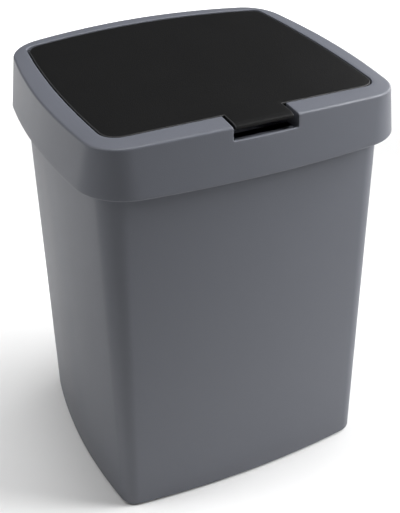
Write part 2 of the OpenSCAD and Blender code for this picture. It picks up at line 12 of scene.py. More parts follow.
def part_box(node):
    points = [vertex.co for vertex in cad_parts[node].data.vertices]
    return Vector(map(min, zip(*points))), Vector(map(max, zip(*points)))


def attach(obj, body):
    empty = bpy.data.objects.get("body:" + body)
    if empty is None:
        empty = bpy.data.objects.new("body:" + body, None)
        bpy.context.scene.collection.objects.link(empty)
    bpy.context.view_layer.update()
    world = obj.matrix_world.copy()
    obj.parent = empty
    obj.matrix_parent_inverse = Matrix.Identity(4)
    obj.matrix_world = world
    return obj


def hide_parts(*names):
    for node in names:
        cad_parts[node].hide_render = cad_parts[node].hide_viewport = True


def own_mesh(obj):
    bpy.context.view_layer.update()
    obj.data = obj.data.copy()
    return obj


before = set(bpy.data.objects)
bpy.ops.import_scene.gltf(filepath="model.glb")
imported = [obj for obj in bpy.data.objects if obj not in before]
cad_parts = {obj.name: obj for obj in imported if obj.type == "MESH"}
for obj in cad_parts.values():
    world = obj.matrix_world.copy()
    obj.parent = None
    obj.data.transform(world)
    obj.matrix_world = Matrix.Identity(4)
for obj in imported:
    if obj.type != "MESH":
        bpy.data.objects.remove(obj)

bl_info = {
    "name": "Push top countertop bin",
    "version": (1, 0, 0),
    "blender": (4, 5, 0),
    "location": "View3D > Sidebar > Bin",
    "description": "Makes the tub, lid, flap, hinge, latch and studio of a push top countertop bin",
    "category": "Add Mesh",
}

MM = 0.001
SHARP = math.radians(32)
CREASE = math.radians(40)
SPECK = 0.0005 * MM
MERGE = 0.002 * MM

# Sizes of hidden parts, as the solids have them
RIM_LIP = 10 * MM
PAD_MARGIN = 12 * MM
TONGUE_HALF, TONGUE_THICK, TONGUE_DEEP = 22 * MM, 3 * MM, 21 * MM
SHELF_HALF, SHELF_REACH = 44 * MM, 7.5 * MM
EAR_PLACES, EAR_WIDTH = (24 * MM, 38 * MM), 3 * MM
KNUCKLE_ENDS = 27.4 * MM, 37.6 * MM
FLAP_COIL_ENDS = 9 * MM, 21 * MM


# Settings that a user can change

def length(name, description, default, low, high):
    """A size in millimetres here, and in metres in the panel."""
    return bpy.props.FloatProperty(
        name=name, description=description, default=default * MM, min=low * MM, max=high * MM,
        unit="LENGTH", subtype="DISTANCE", precision=4)


def colour(name, description, default):
    """A surface colour, in linear light."""
    return bpy.props.FloatVectorProperty(
        name=name, description=description, default=default, min=0, max=1, size=3, subtype="COLOR")


def share(name, description, default):
    """A plain number from 0 to 1."""
    return bpy.props.FloatProperty(
        name=name, description=description, default=default, min=0, max=1, subtype="FACTOR")


class LidSizes(bpy.types.PropertyGroup):
    """Sizes of the lid frame."""

    height: length("Height", "Crown of the lid above the worktop", 320, 280, 360)
    width: length("Width", "Across the upper edge", 235.6, 228, 246)
    depth: length("Depth", "Across the upper edge", 214.8, 208, 224)
    corner: length("Corner", "Corner radius at the upper edge", 28.6, 22, 34)
    bow: length("Bow", "How far all four sides bow outwards", 11, 6, 14)
    crown: length("Crown", "How much lower the side edges are than the middle", 4.6, 3, 6)
    rise: length("Rise", "How much higher the back is than the front", 4.3, 2, 6)
    border_drop: length("Border drop", "Fall of the border to its outer edge", 0.9, 0.5, 2)
    edge_round: length("Edge rounding", "Radius of the upper outer edge", 1.5, 1, 3)
    lip_round: length("Lip rounding", "Radius of the opening's edge", 0.5, 0.3, 1.5)
    skirt: length("Skirt", "Height of the skirt", 39.6, 34, 44)
    flare_x: length("Side flare", "Flare of the skirt at the sides", 4.9, 3, 7)
    flare_y: length("Front flare", "Flare of the skirt at the front and back", 2.6, 1, 5)
    skirt_corner: length("Skirt corner", "Corner radius at the skirt's lower edge", 38, 34, 42)
    wall: length("Wall", "Wall of the frame", 2.2, 1.8, 2.8)
    side: length("Side border", "Width of the border at the sides", 13.7, 12, 16)
    front: length("Front border", "Width of the border at the front", 17, 15.5, 19)
    rear: length("Rear border", "Width of the border at the back", 12.5, 11.5, 15)
    opening_corner: length("Opening corner", "Radius of the opening's front corners", 15.2, 13, 17)
    rear_corner: length("Opening corner, rear", "Radius of the opening's rear corners", 8, 7, 11)
    opening_bow_y: length("Opening bow, front", "Bow of the opening's front and back", 6.5, 5, 7.5)
    opening_bow_x: length("Opening bow, sides", "Bow of the opening's sides", 5.2, 4, 6.5)
    notch: length("Notch", "Depth of the notch under the tab", 9.6, 8.5, 11)


class FlapSizes(bpy.types.PropertyGroup):
    """Sizes of the flap and its tab."""

    gap: length("Gap", "Gap round the front and the sides", 1.1, 0.8, 1.5)
    rear_gap: length("Rear gap", "Gap at the back", 2, 1.8, 2.4)
    rear_corner: length("Rear corner", "Radius of the flap's rear corners", 12, 12, 15)
    thickness: length("Thickness", "Thickness of the flap", 2.2, 1.8, 2.4)
    recess: length("Recess", "Depth of the flap's face below the border", 0.3, 0.1, 0.5)
    edge_round: length("Edge rounding", "Radius of the flap's edge", 0.6, 0.5, 1.5)
    rim: length("Rim", "Height of the rim under the flap's edge", 5, 4, 6)
    tab: length("Tab", "Width of the press tab", 42, 36, 44)
    tab_gap: length("Tab gap", "Gap on each side of the tab", 2.5, 1.5, 3.5)
    setback: length("Setback", "Tab's edge behind the lid's front edge", 2.2, 1, 4)
    tab_tip: length("Tab edge", "Thickness of the tab's edge", 3.2, 2.4, 4)
    tab_fall: length("Tab fall", "Fall of the tab to its edge", 1, 0.5, 2)


class TubSizes(bpy.types.PropertyGroup):
    """Sizes of the tub."""

    mouth_w: length("Mouth width", "Width of the mouth without its rim", 227, 221, 229)
    mouth_d: length("Mouth depth", "Depth of the mouth without its rim", 194.4, 193, 197)
    base_w: length("Base width", "Width of the base", 221, 190, 227)
    base_d: length("Base depth", "Depth of the base", 187.4, 160, 194)
    shift: length("Base shift", "Base behind the middle of the mouth", 1.6, 0, 3)
    mouth_corner: length("Mouth corner", "Corner radius at the mouth", 21.5, 16, 26)
    base_corner: length("Base corner", "Corner radius at the base", 13, 8, 20)
    bow_y: length("Base bow, front", "Bow of the base's front and back", 8.5, 5, 11)
    bow_x: length("Base bow, sides", "Bow of the base's sides", 10.4, 6, 13)
    wall: length("Wall", "Wall of the tub", 2, 1.6, 2.6)
    floor: length("Floor", "Floor of the tub", 2.6, 2.2, 3.4)
    round: length("Base rounding", "Radius of the edge round the base", 2.4, 1, 4)
    rim: length("Rim", "Overhang of the turned rim", 3, 2, 4)
    rim_drop: length("Rim drop", "Rim below the crown of the lid", 17, 15, 20)
    proud: length("Pad height", "How far the pads stand out below", 0.8, 0.5, 1.2)
    pad: length("Pad", "Diameter of the pads", 16, 12, 20)


class SmallSizes(bpy.types.PropertyGroup):
    """Sizes of the hinge and the latch."""

    rod: length("Rod", "Diameter of the hinge rod", 3, 2.6, 3.2)
    setback: length("Hinge setback", "Axis in front of the opening's rear edge", 7.9, 7.6, 8.3)
    depth: length("Hinge depth", "Axis below the lid's surface", 5.6, 5.4, 5.8)
    flap_wire: length("Flap spring wire", "Wire of the flap springs", 0.9, 0.7, 1)
    flap_turns: bpy.props.IntProperty(
        name="Flap spring turns", description="Turns of each flap spring", default=5, min=3, max=6)
    latch_wire: length("Latch spring wire", "Wire of the latch spring", 0.7, 0.5, 0.8)
    latch_turns: bpy.props.IntProperty(
        name="Latch spring turns", description="Turns of the latch spring", default=6, min=5, max=7)


class Finishes(bpy.types.PropertyGroup):
    """Colours and surface of the plastics, the rubber and the steel."""

    grey: colour("Grey plastic", "Tub and lid frame", (0.107, 0.113, 0.133))
    black: colour("Black plastic", "Flap", (0.0075, 0.0075, 0.0077))
    latch: colour("Latch plastic", "Latch and striker", (0.028, 0.028, 0.030))
    rubber: colour("Rubber", "Pads and bumpers", (0.040, 0.040, 0.042))
    steel: colour("Steel", "Rod, springs and screws", (0.60, 0.60, 0.61))
    grain: share("Grain", "Depth of the moulded grain", 0.35)


class StudioSettings(bpy.types.PropertyGroup):
    """Camera, lights and floor."""

    floor: colour("Floor", "Colour of the floor", (0.82, 0.82, 0.82))
    glow: share("Glow", "Brightness of the floor far from the lamps, and round it", 0.65)
    focal: bpy.props.FloatProperty(
        name="Focal length", description="Lens in millimetres", default=65.54, min=20, max=200)
    roll: bpy.props.FloatProperty(
        name="Roll", description="Turn of the camera about its view", default=math.radians(-1.064),
        min=-0.5, max=0.5, subtype="ANGLE")
    place: bpy.props.FloatVectorProperty(
        name="Camera place", description="Where the camera stands",
        default=(-0.26646, -0.57511, 0.56114), size=3, subtype="TRANSLATION")
    target: bpy.props.FloatVectorProperty(
        name="Camera target", description="The point in the middle of the lens",
        default=(0.001914, 0.013251, 0.193584), size=3, subtype="TRANSLATION")
    shift: bpy.props.FloatVectorProperty(
        name="Lens shift", description="Sideways and upward shift of the lens",
        default=(0.0157, -0.0988), size=2)
    light: bpy.props.FloatProperty(
        name="Light", description="Strength of all the lamps together", default=1, min=0)


GROUPS = {
    "bin_lid": LidSizes, "bin_flap": FlapSizes, "bin_tub": TubSizes, "bin_small": SmallSizes,
    "bin_finishes": Finishes, "bin_studio": StudioSettings,
}


def settings(name):
    """One of the groups above, as set in this scene."""
    return getattr(bpy.context.scene, name)


# Nodes: shader and geometry trees are both written as expressions

def joining(operation, swapped=False):
    """An arithmetic method that joins two values with a node."""
    return lambda self, other: self.join(operation, other, swapped)


class Value:
    """An output on its way through a tree; arithmetic on it adds the node."""

    __add__, __radd__ = joining("ADD"), joining("ADD", True)
    __sub__, __rsub__ = joining("SUBTRACT"), joining("SUBTRACT", True)
    __mul__, __truediv__ = joining("MULTIPLY"), joining("DIVIDE")

    def __init__(self, graph, socket):
        self.graph = graph
        self.socket = socket

    def join(self, operation, other, swapped):
        """Adds the node of one operation. A vector is added, subtracted or scaled."""
        pair = {0: other, 1: self} if swapped else {0: self, 1: other}
        if self.socket.type != "VECTOR":
            return self.graph.value("Math", pair, operation=operation)
        if operation == "MULTIPLY":
            operation, pair = "SCALE", {0: self, 3: other}
        return self.graph.value("VectorMath", pair, operation=operation)


class Graph:
    """A node tree in the making."""

    def __init__(self, tree):
        self.tree = tree

    def feed(self, node, sockets):
        """Links or sets inputs of a node."""
        for key, value in sockets.items():
            if isinstance(value, Value):
                self.tree.links.new(value.socket, node.inputs[key])
            else:
                node.inputs[key].default_value = value

    def add(self, kind, sockets, output, fixed):
        """An output of a new node, made with its own settings first and then its inputs."""
        node = self.tree.nodes.new(kind)
        for key, value in fixed.items():
            setattr(node, key, value)
        self.feed(node, sockets)
        return Value(self, node.outputs[output])

    def value(self, kind, sockets, output=0, **fixed):
        """An output of a new shading or maths node."""
        return self.add("ShaderNode" + kind, sockets, output, fixed)

    def ramp(self, amount, stops):
        """A grey ramp through (position, brightness) stops."""
        result = self.value("ValToRGB", {0: amount})
        ramp = result.socket.node.color_ramp
        while len(ramp.elements) < len(stops):
            ramp.elements.new(0.5)
        for element, (place, bright) in zip(ramp.elements, stops):
            element.position = place
            element.color = (bright, bright, bright, 1)
        return result


# Materials

# Of each plastic: gloss, size of the grain, depth of the grain, spread of the tone, shine, and
# how much paler the painted highlight makes its tightly rounded edges
PLASTICS = {
    "grey_plastic": (0.42, 0.55 * MM, 1.0, 0.045, 0.36, 1.35),
    "black_plastic": (0.5, 0.75 * MM, 1.5, 0.12, 0.08, 6.5),
    "latch_plastic": (0.38, 0.35 * MM, 0.5, 0.06, 0.3, 1.5),
}


def scaled(base, factor):
    """A colour made lighter or darker, with its alpha."""
    return [*(min(1, part * factor) for part in base), 1]


class Paint(Graph):
    """A material in the making."""

    def __init__(self, name):
        self.material = bpy.data.materials.new(name)
        self.material.use_nodes = True
        super().__init__(self.material.node_tree)
        self.tree.nodes.clear()
        self.surface = self.value("BsdfPrincipled", {})
        self.feed(self.tree.nodes.new("ShaderNodeOutputMaterial"), {"Surface": self.surface})
        self.place = self.value("TexCoord", {}, "Object")

    def noise(self, scale, detail=2.0, roughness=0.5, place=None):
        """Noise from 0 to 1 at a scale per metre."""
        return self.value("TexNoise", {"Vector": place or self.place, "Scale": scale,
                                       "Detail": detail, "Roughness": roughness}, "Fac")

    def stretched(self, scale):
        """The coordinates scaled by an amount along each axis."""
        return self.value("Mapping", {"Vector": self.place, "Scale": scale})

    def mixed(self, amount, first, second):
        """One colour fading into another."""
        return self.value("Mix", {0: amount, 6: first, 7: second}, 2, data_type="RGBA")

    def tinted(self, base, tone, spread):
        """A colour that runs from darker to lighter along tone."""
        return self.mixed(tone, scaled(base, 1 - spread), scaled(base, 1 + spread))

    def bumped(self, height, strength, distance):
        """Surface relief from a height."""
        return self.value("Bump", {"Strength": strength, "Distance": distance, "Height": height})

    def finished(self, sockets):
        """The material, with these inputs of its shader."""
        self.feed(self.surface.socket.node, sockets)
        return self.material


def moulded_plastic(name, base, grain_share, gloss, size, depth, spread, shine, pale):
    """Injection-moulded plastic: eroded grain, faint flow and handling marks, and tightly rounded
    edges that are a little glossier and painted paler as a highlight.
    """
    p = Paint(name)
    pits = p.value("TexVoronoi", {"Vector": p.place, "Scale": 1 / size, "Smoothness": 0.6},
                   "Distance", feature="SMOOTH_F1")
    grain = pits * 0.7 + p.noise(2.2 / size, 3) * 0.3
    flow = p.noise(26, 3, 0.55, p.stretched((1, 1, 0.18)))
    scuffs = p.ramp(p.noise(160, 5, 0.7), [(0.62, 0), (0.78, 1)])
    tone = flow * 0.45 + p.noise(7) * 0.35 + grain * 0.2
    # Painted highlight: marked rounded edges get a paler base colour in place of the light they
    # catch, and a slightly lower roughness
    highlight_mask = p.value("Attribute", {}, "Fac", attribute_name="edge_wear")
    painted_highlight = highlight_mask * (0.55 + p.noise(300, 3) * 0.6)
    rough = (gloss + (flow - 0.5) * 0.10 + scuffs * 0.05 + (grain - 0.4) * 0.08) - painted_highlight * 0.1
    return p.finished({
        "Base Color": p.mixed(painted_highlight, p.tinted(base, tone, spread), scaled(base, pale)),
        "Roughness": rough, "Specular IOR Level": shine,
        "Normal": p.bumped(grain, grain_share * depth, size * 0.35)})


def rubber(name, base):
    """Matt rubber with a dusty bloom."""
    p = Paint(name)
    bloom = p.noise(90, 4, 0.6)
    return p.finished({
        "Base Color": p.tinted(base, bloom, 0.22), "Roughness": bloom * 0.12 + 0.72,
        "Normal": p.bumped(p.noise(2200), 0.3, 0.15 * MM)})


def drawn_steel(name, base):
    """Drawn wire and rod: bright, with fine lines along X and a slight stain."""
    p = Paint(name)
    draw, stain = p.noise(5200, place=p.stretched((0.04, 1, 1))), p.noise(240, 3)
    return p.finished({
        "Base Color": p.tinted(base, draw * 0.5 + stain * 0.5, 0.16), "Metallic": 1,
        "Roughness": draw * 0.14 + stain * 0.12 + 0.2, "Normal": p.bumped(draw, 0.12, 0.03 * MM)})


def floor_paper(name, base, glow):
    """Matt paper that glows far from the lamps, so that its edges are never dark."""
    p = Paint(name)
    away = p.value("VectorMath", {0: p.place}, "Value", operation="LENGTH")
    return p.finished({
        "Base Color": p.tinted(base, p.noise(3), 0.01), "Roughness": 0.9, "Emission Strength": 1,
        "Emission Color": p.ramp(away * 0.5, [(0.26, 0.0), (0.55, glow)])})


def finish(slot):
    """The finish of one of the record's slots, made the first time it is asked for."""
    s, name = settings("bin_finishes"), slot.replace("_", " ") + " finish"
    base = getattr(s, slot.split("_")[0])
    if name in bpy.data.materials:
        return bpy.data.materials[name]
    if slot in PLASTICS:
        return moulded_plastic(name, base, s.grain, *PLASTICS[slot])
    return {"rubber": rubber, "steel": drawn_steel}[slot](name, base)


# Outlines seen from above

SIDE_STEPS = 14
CORNER_STEPS = 18


def arc(centre, radius, start, end, steps, last=False):
    """Points of an arc, without its last one unless asked."""
    return [centre + radius * Vector((math.cos(t), math.sin(t)))
            for t in (start + (end - start) * i / steps for i in range(steps + last))]


def quarter(a, b, bow_y, bow_x, r):
    """From the middle of the right side to the middle of the back: side, corner and back arcs."""
    ry = (a * a + bow_y * bow_y) / (2 * bow_y)
    rx = (b * b + bow_x * bow_x) / (2 * bow_x)
    cy, cx = Vector((0, b - ry)), Vector((a - rx, 0))
    gap = cx - cy
    d = gap.length
    along = ((ry - r) ** 2 - (rx - r) ** 2 + d * d) / (2 * d)
    off = math.sqrt((ry - r) ** 2 - along * along)
    u = gap / d
    f = cy + along * u + off * Vector((u.y, -u.x))
    t0 = math.atan2(f.y - cx.y, f.x - cx.x)
    t1 = math.atan2(f.y - cy.y, f.x - cy.x)
    return (arc(cx, rx, 0, t0, SIDE_STEPS) + arc(f, r, t0, t1, CORNER_STEPS)
            + arc(cy, ry, t1, math.pi / 2, SIDE_STEPS, True))


def bowed(a, b, bow_y, bow_x, r, y=0.0, rear_r=None):
    """A whole bowed rectangle, anticlockwise from the middle of the right side."""
    rear = quarter(a, b, bow_y, bow_x, rear_r or r)
    front = quarter(a, b, bow_y, bow_x, r)

    def flipped(points, sx, sy):
        return [Vector((sx * p.x, sy * p.y)) for p in points]

    ring = (rear[:-1] + flipped(rear, -1, 1)[::-1][:-1]
            + flipped(front, -1, -1)[:-1] + flipped(front, 1, -1)[::-1][:-1])
    return [p + Vector((0, y)) for p in ring]


class Plan:
    """Every place and outline that the pieces share, worked out from the settings, in metres."""

    def __init__(self):
        lid, flap, tub, small = (
            settings("bin_" + key) for key in ("lid", "flap", "tub", "small"))
        self.lid, self.flap, self.tub, self.small = lid, flap, tub, small
        self.slope = lid.rise / lid.depth
        self.open_a = lid.width / 2 - lid.side
        self.open_front = lid.front - lid.depth / 2
        self.open_rear = lid.depth / 2 - lid.rear
        open_y = (self.open_rear + self.open_front) / 2
        open_b = (self.open_rear - self.open_front) / 2
        self.flap_front = self.open_front + flap.gap
        flap_rear = self.open_rear - flap.rear_gap
        self.flap_y = (flap_rear + self.flap_front) / 2
        self.flap_b = (flap_rear - self.flap_front) / 2
        self.under = flap.recess + flap.thickness
        self.skirt_z = lid.height - lid.border_drop - lid.skirt
        self.rim_z = lid.height - tub.rim_drop
        self.web_z = self.rim_z + 0.2 * MM
        self.web_top = self.web_z + 2 * MM
        self.notch_z = lid.height - lid.border_drop - self.slope * lid.depth / 2 - lid.notch
        self.axis_y = self.open_rear - small.setback
        self.axis_z = self.top(0, self.axis_y) - small.depth
        self.latch_y = self.open_front + 8 * MM
        bows = lid.opening_bow_y, lid.opening_bow_x
        self.edge = bowed(lid.width / 2, lid.depth / 2, lid.bow, lid.bow, lid.corner)
        self.skirt = bowed(lid.width / 2 + lid.flare_x, lid.depth / 2 + lid.flare_y,
                           lid.bow, lid.bow, lid.skirt_corner)
        self.opening = bowed(self.open_a, open_b, *bows, lid.opening_corner, open_y,
                             lid.rear_corner)
        self.flap_edge = bowed(self.open_a - flap.gap, self.flap_b, *bows,
                               lid.opening_corner - flap.gap, self.flap_y, flap.rear_corner)
        self.mouth = bowed(tub.mouth_w / 2, tub.mouth_d / 2, lid.bow, lid.bow, tub.mouth_corner)
        self.base = bowed(tub.base_w / 2, tub.base_d / 2, tub.bow_y, tub.bow_x, tub.base_corner,
                          tub.shift)

    def top(self, x, y):
        """Height of the lid's surface."""
        return (self.lid.height + self.slope * y
                - self.lid.crown * (x / (self.lid.width / 2)) ** 2)

    def on_axis(self, y, z, x):
        """A place given from the hinge's axis."""
        return x, self.axis_y + y, self.axis_z + z


# Geometry node trees

WIRE_SIDES = 12
COIL_STEPS = 220


class Tool(Graph):
    """A geometry node tree with named inputs; it ends in real geometry with a material."""

    def __init__(self, name):
        super().__init__(bpy.data.node_groups.new(name, "GeometryNodeTree"))
        self.tree.is_modifier = True
        self.sockets = {}
        self.source = self.tree.nodes.new("NodeGroupInput")
        self.seed, = self.inputs("Geometry", "Geometry")
        self.material, = self.inputs("Material", "Material")
        self.tree.interface.new_socket("Geometry", in_out="OUTPUT",
                                       socket_type="NodeSocketGeometry")

    def inputs(self, kind, *names):
        """Named inputs of one kind, as values inside the tree."""
        for name in names:
            socket = self.tree.interface.new_socket(name, in_out="INPUT",
                                                    socket_type="NodeSocket" + kind)
            self.sockets[name] = socket.identifier
        return [Value(self, self.source.outputs[name]) for name in names]

    def step(self, kind, sockets, output=0, **fixed):
        """An output of a new geometry node."""
        return self.add("GeometryNode" + kind, sockets, output, fixed)

    def named(self, name, kind="FLOAT"):
        """An attribute that the seed mesh carries."""
        return self.step("InputNamedAttribute", {"Name": name}, data_type=kind)

    def finish(self, geometry):
        """Ends the tree."""
        real = self.step("RealizeInstances", {0: geometry})
        painted = self.step("SetMaterial", {"Geometry": real, "Material": self.material})
        self.feed(self.tree.nodes.new("NodeGroupOutput"), {0: painted})
        return self

    def tube(self, path, wire):
        """Ends the tree in round wire along a path."""
        circle = self.step("CurvePrimitiveCircle", {"Radius": wire * 0.5, "Resolution": WIRE_SIDES})
        tube = self.step("CurveToMesh", {"Curve": path, "Profile Curve": circle,
                                         "Fill Caps": True})
        return self.finish(self.step("SetShadeSmooth", {"Geometry": tube}))

    def run(self, name, seed, slot, **inputs):
        """Runs the tree on a seed mesh and returns the result as a plain object."""
        thing = linked(name, seed)
        modifier = thing.modifiers.new(self.tree.name, "NODES")
        modifier.node_group = self.tree
        for key, value in dict(inputs, Material=finish(slot)).items():
            modifier[self.sockets[key.replace("_", " ")]] = value
        return settle(thing)


@cache
def shell_tool():
    """A shell that carries a section round an outline.

    Each section point says how far it stands outside the outline, how far it has moved to the
    inner outline or to the foot, how far it has shrunk to the middle, and whether its height
    is a level or a drop below the lid's crowned surface.
    """
    t = Tool("Bowed shell")
    section, = t.inputs("Object", "Section")
    height, slope, crown, half, middle = t.inputs(
        "Float", "Height", "Slope", "Crown", "Half width", "Middle")
    loop = t.step("MeshToCurve", {0: t.seed})
    chain = t.step("MeshToCurve", {0: t.step("ObjectInfo", {"Object": section}, "Geometry")})
    swept = t.step("CurveToMesh", {"Curve": loop, "Profile Curve": chain})
    edge, outward, inner, foot = (t.named(name, "FLOAT_VECTOR") for name in (
        "edge_place", "outward", "inner_place", "foot_place"))
    place = (edge + (inner - edge) * t.named("inner") + (foot - edge) * t.named("foot")
             + outward * t.named("grow"))
    keep, on_top = 1 - t.named("shrink"), t.named("on_top")
    x = t.value("SeparateXYZ", {0: place}, "X") * keep
    y = (t.value("SeparateXYZ", {0: place}, "Y") - middle) * keep + middle
    crowned = height + slope * y - crown * ((x / half) * (x / half)) - t.named("drop")
    z = crowned * on_top + t.named("level") * (1 - on_top)
    moved = t.step("SetPosition", {"Geometry": swept,
                                   "Position": t.value("CombineXYZ", {"X": x, "Y": y, "Z": z})})
    return t.finish(t.step("MergeByDistance", {"Geometry": moved, "Distance": MERGE}))


@cache
def wire_tool():
    """Round wire along a path."""
    t = Tool("Wire")
    wire, = t.inputs("Float", "Wire")
    return t.tube(t.step("MeshToCurve", {0: t.seed}), wire)


@cache
def coil_tool():
    """A compression spring that stands upright on its foot."""
    t = Tool("Coil")
    turns, radius, tall, wire, foot_y, foot_z = t.inputs(
        "Float", "Turns", "Radius", "Tall", "Wire", "Foot Y", "Foot Z")
    fine = t.step("ResampleCurve", {"Curve": t.step("CurvePrimitiveLine", {}),
                                    "Count": COIL_STEPS})
    along = t.step("SplineParameter", {}, "Factor")
    cosine, sine = (t.value("Math", {0: along * turns * (2 * math.pi)}, operation=kind)
                    for kind in ("COSINE", "SINE"))
    spot = t.value("CombineXYZ", {"X": cosine * radius, "Y": sine * radius + foot_y,
                                  "Z": along * tall + foot_z})
    return t.tube(t.step("SetPosition", {"Geometry": fine, "Position": spot}), wire)


@cache
def rows_tool():
    """Copies of the seed in rows: a number along X and a number along Y, evenly spaced."""
    t = Tool("Rows")
    columns, rows = t.inputs("Int", "Columns", "Rows")
    step_x, step_y, middle_y, level = t.inputs("Float", "Step X", "Step Y", "Middle Y", "Level")
    start = t.value("CombineXYZ", {"X": (columns - 1) * step_x * -0.5,
                                   "Y": (rows - 1) * step_y * -0.5 + middle_y, "Z": level})
    across = t.step("MeshLine", {"Count": columns, "Start Location": start,
                                 "Offset": t.value("CombineXYZ", {"X": step_x})})
    back = t.step("MeshLine", {"Count": rows, "Offset": t.value("CombineXYZ", {"Y": step_y})})
    row = t.step("InstanceOnPoints", {"Points": across, "Instance": t.seed})
    return t.finish(t.step("InstanceOnPoints", {"Points": back, "Instance": row}))


# Meshes

def linked(name, data):
    """A new object in the scene."""
    thing = bpy.data.objects.new(name, data)
    bpy.context.scene.collection.objects.link(thing)
    return thing


def settle(thing):
    """Applies what is live on an object and returns it as a plain mesh."""
    evaluated = thing.evaluated_get(bpy.context.evaluated_depsgraph_get())
    mesh = bpy.data.meshes.new_from_object(evaluated)
    old = thing.data
    thing.modifiers.clear()
    thing.data = mesh
    bpy.data.meshes.remove(old)
    mesh.name = thing.name
    return thing


def discard(*things):
    """Removes helpers and their meshes."""
    for thing in things:
        mesh = thing.data
        bpy.data.objects.remove(thing)
        bpy.data.meshes.remove(mesh)


@contextmanager
def edited(mesh):
    """A mesh's geometry to work on, written back at the end."""
    bm = bmesh.new()
    bm.from_mesh(mesh)
    yield bm
    bm.to_mesh(mesh)
    bm.free()


def from_bmesh(name, bm, outward=True):
    """An object with the mesh that was built, its faces turned outward if asked."""
    if outward:
        bmesh.ops.recalc_face_normals(bm, faces=bm.faces)
    mesh = bpy.data.meshes.new(name)
    bm.to_mesh(mesh)
    bm.free()
    return linked(name, mesh)


def chain_mesh(name, points, closed):
    """A mesh of one line of edges."""
    count = len(points)
    edges = [(i, (i + 1) % count) for i in range(count if closed else count - 1)]
    mesh = bpy.data.meshes.new(name)
    mesh.from_pydata(points, edges, [])
    return mesh


def at(grow=0.0, level=None, drop=0.0, inner=0.0, foot=0.0, shrink=0.0, on_top=None):
    """One point of a section: with a level it lies level, otherwise it follows the lid's top."""
    return dict(grow=grow, level=level or 0.0, drop=drop, inner=inner, foot=foot, shrink=shrink,
                on_top=float(level is None) if on_top is None else on_top)


def fillet(count):
    """Points of a rounding of radius 1: how far each has come from its start, and has to go."""
    return [(1 - math.cos(t), 1 - math.sin(t))
            for t in (math.pi / 2 * i / count for i in range(count + 1))]


def half_circle(radius, start=0.0, count=20):
    """Points of half a circle about the origin."""
    return [(math.cos(t) * radius, math.sin(t) * radius)
            for t in (start + math.pi * i / count for i in range(count + 1))]


def shell(name, plan, slot, section, edge, inner=None, foot=None, closed=True, middle=0.0):
    """Carries a section round an outline."""
    seed = chain_mesh(name, [(*p, 0) for p in edge], True)
    count = len(edge)
    fields = {
        "edge_place": edge, "inner_place": inner or edge, "foot_place": foot or edge,
        "outward": [Vector(((b - a).y, -(b - a).x)).normalized()
                    for a, b in ((edge[i - 1], edge[(i + 1) % count]) for i in range(count))],
    }
    for key, places in fields.items():
        values = [part for p in places for part in (p.x, p.y, 0.0)]
        seed.attributes.new(key, "FLOAT_VECTOR", "POINT").data.foreach_set("vector", values)
    line = [(0, 0, i * MM) for i in range(len(section))]
    profile = linked(name + "_section", chain_mesh(name + "_section", line, closed))
    for key in section[0]:
        profile.data.attributes.new(key, "FLOAT", "POINT").data.foreach_set(
            "value", [point[key] for point in section])
    lid = plan.lid
    thing = shell_tool().run(
        name, seed, slot, Section=profile, Height=lid.height, Slope=plan.slope,
        Crown=lid.crown, Half_width=lid.width / 2, Middle=middle)
    discard(profile)
    with edited(thing.data) as bm:
        for layers in (bm.verts.layers.float, bm.verts.layers.float_vector):
            for key in layers.keys():
                layers.remove(layers[key])
        bmesh.ops.dissolve_degenerate(bm, dist=SPECK, edges=bm.edges)
        bmesh.ops.recalc_face_normals(bm, faces=bm.faces)
    return thing


def prism(name, outline, place, along, round_=0.0, round_steps=3, spans=1):
    """An outline in a plane, carried along a direction, with its two end edges rounded.

    place turns a point of the outline and a distance along into a place in the frame.
    The straight part between the ends is divided into spans.
    """
    area = sum(a[0] * b[1] - b[0] * a[1] for a, b in zip(outline, outline[1:] + outline[:1]))
    turn = 1 if area > 0 else -1
    count = len(outline)
    inward = []
    for i, point in enumerate(outline):
        before, after = Vector(outline[i - 1]), Vector(outline[(i + 1) % count])
        first = (Vector(point) - before).normalized()
        second = (after - Vector(point)).normalized()
        lean = Vector((-(first.y + second.y), first.x + second.x)).normalized() * turn
        inward.append(lean / max(0.4, lean.dot(Vector((-first.y, first.x)) * turn)))
    low, high = along
    front = [(low, 0.0)]
    if round_:
        front = [(low + round_ * u, round_ * v) for u, v in fillet(round_steps)]
    straight = high - low - 2 * round_
    middle = [(low + round_ + straight * i / spans, 0.0) for i in range(1, spans)]
    stations = front + middle + [(low + high - s, inset) for s, inset in reversed(front)]
    bm = bmesh.new()
    rings = [[bm.verts.new(place(p[0] + n.x * inset, p[1] + n.y * inset, s))
              for p, n in zip(outline, inward)] for s, inset in stations]
    for low, high in zip(rings, rings[1:]):
        for i in range(count):
            k = (i + 1) % count
            bm.faces.new((low[i], low[k], high[k], high[i]))
    bm.faces.new(rings[0])
    bm.faces.new(rings[-1])
    return from_bmesh(name, bm)


def rounded(points, radius, count=4):
    """A polygon with its corners rounded."""
    result = []
    for i, point in enumerate(points):
        corner = Vector(point)
        before = Vector(points[i - 1]) - corner
        after = Vector(points[(i + 1) % len(points)]) - corner
        reach = min(radius, before.length * 0.45, after.length * 0.45)
        start, end = corner + before.normalized() * reach, corner + after.normalized() * reach
        for t in (j / count for j in range(count + 1)):
            result.append(tuple(start * (1 - t) ** 2 + corner * (2 * t * (1 - t)) + end * t * t))
    return result


def block(name, half, y, z, round_):
    """A moulded bar across the middle, with rounded edges."""
    outline = rounded([(-half, y[0]), (half, y[0]), (half, y[1]), (-half, y[1])], round_, 3)
    return prism(name, outline, lambda a, b, s: (a, b, s), z, round_)


